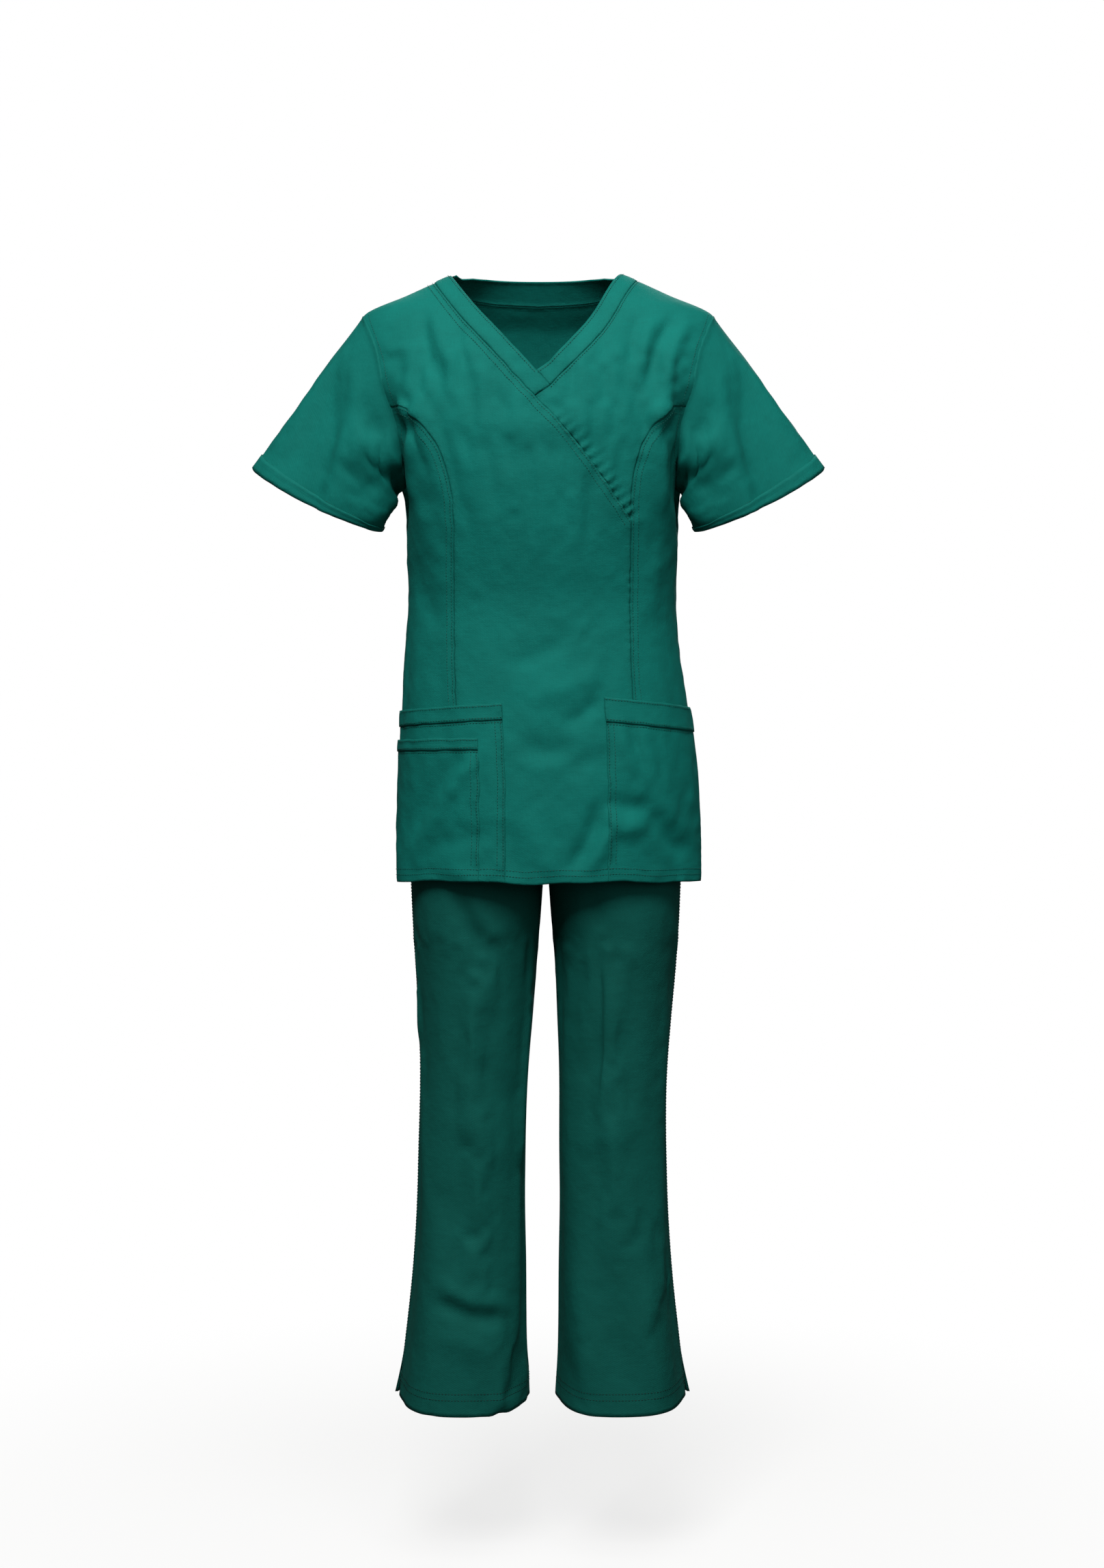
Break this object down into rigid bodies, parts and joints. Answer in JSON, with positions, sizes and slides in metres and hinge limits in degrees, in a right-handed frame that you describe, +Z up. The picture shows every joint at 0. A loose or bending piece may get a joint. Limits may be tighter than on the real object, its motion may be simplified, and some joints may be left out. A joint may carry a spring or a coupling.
{
  "type": "scrub suit",
  "caption": "Two-piece medical scrub suit: a short-sleeved mock-wrap V-neck top with patch pockets over straight elastic-waist trousers with ankle slits.",
  "frame": {"origin": "centre of the wearer's waist, level with the top of the trousers' waistband", "axes": "+Z up along the wearer, -Y out of the front of the garment, +X towards the wearer's left"},
  "size_m": [0.6484, 0.254, 1.2802],
  "materials": {
    "top_cloth": "matt teal cotton-polyester twill",
    "top_trim": "the same twill, folded and topstitched",
    "trouser_cloth": "matt dark teal cotton-polyester twill",
    "elastic": "ribbed off-white woven elastic"
  },
  "bodies": {
    "trousers": {"waistband_front": "trouser_cloth", "waistband_back": "trouser_cloth", "trouser_front_left": "trouser_cloth", "trouser_front_right": "trouser_cloth", "trouser_back_left": "trouser_cloth", "trouser_back_right": "trouser_cloth", "leg_hem_front_left": "trouser_cloth", "leg_hem_front_right": "trouser_cloth", "leg_hem_back_left": "trouser_cloth", "leg_hem_back_right": "trouser_cloth", "waist_elastic": "elastic"},
    "top": {"front_overlap_panel": "top_cloth", "front_underlap_panel": "top_cloth", "side_front_panel_left": "top_cloth", "side_front_panel_right": "top_cloth", "back_panel": "top_cloth", "pocket_right": "top_cloth", "utility_pocket": "top_cloth", "pocket_left": "top_cloth", "neck_band_right": "top_trim", "neck_band_left": "top_trim", "back_neck_band": "top_trim", "wrap_facing": "top_trim", "top_hem_front": "top_trim", "top_hem_back": "top_trim", "pocket_band_right": "top_trim", "utility_pocket_band": "top_trim", "pocket_band_left": "top_trim"},
    "left_sleeve": {"sleeve_left": "top_cloth", "sleeve_hem_left": "top_trim"},
    "right_sleeve": {"sleeve_right": "top_cloth", "sleeve_hem_right": "top_trim"}
  },
  "joints": [
    {"name": "top_lift", "type": "slide", "parent": "trousers", "child": "top", "axis": [0, 0, 1], "range_m": [0, 0.35]},
    {"name": "left_sleeve_raise", "type": "hinge", "parent": "top", "child": "left_sleeve", "pos_m": [0.199, 0, 0.341], "axis": [0, -1, 0], "range_deg": [0, 45]},
    {"name": "right_sleeve_raise", "type": "hinge", "parent": "top", "child": "right_sleeve", "pos_m": [-0.199, 0, 0.341], "axis": [0, 1, 0], "range_deg": [0, 45]}
  ]
}
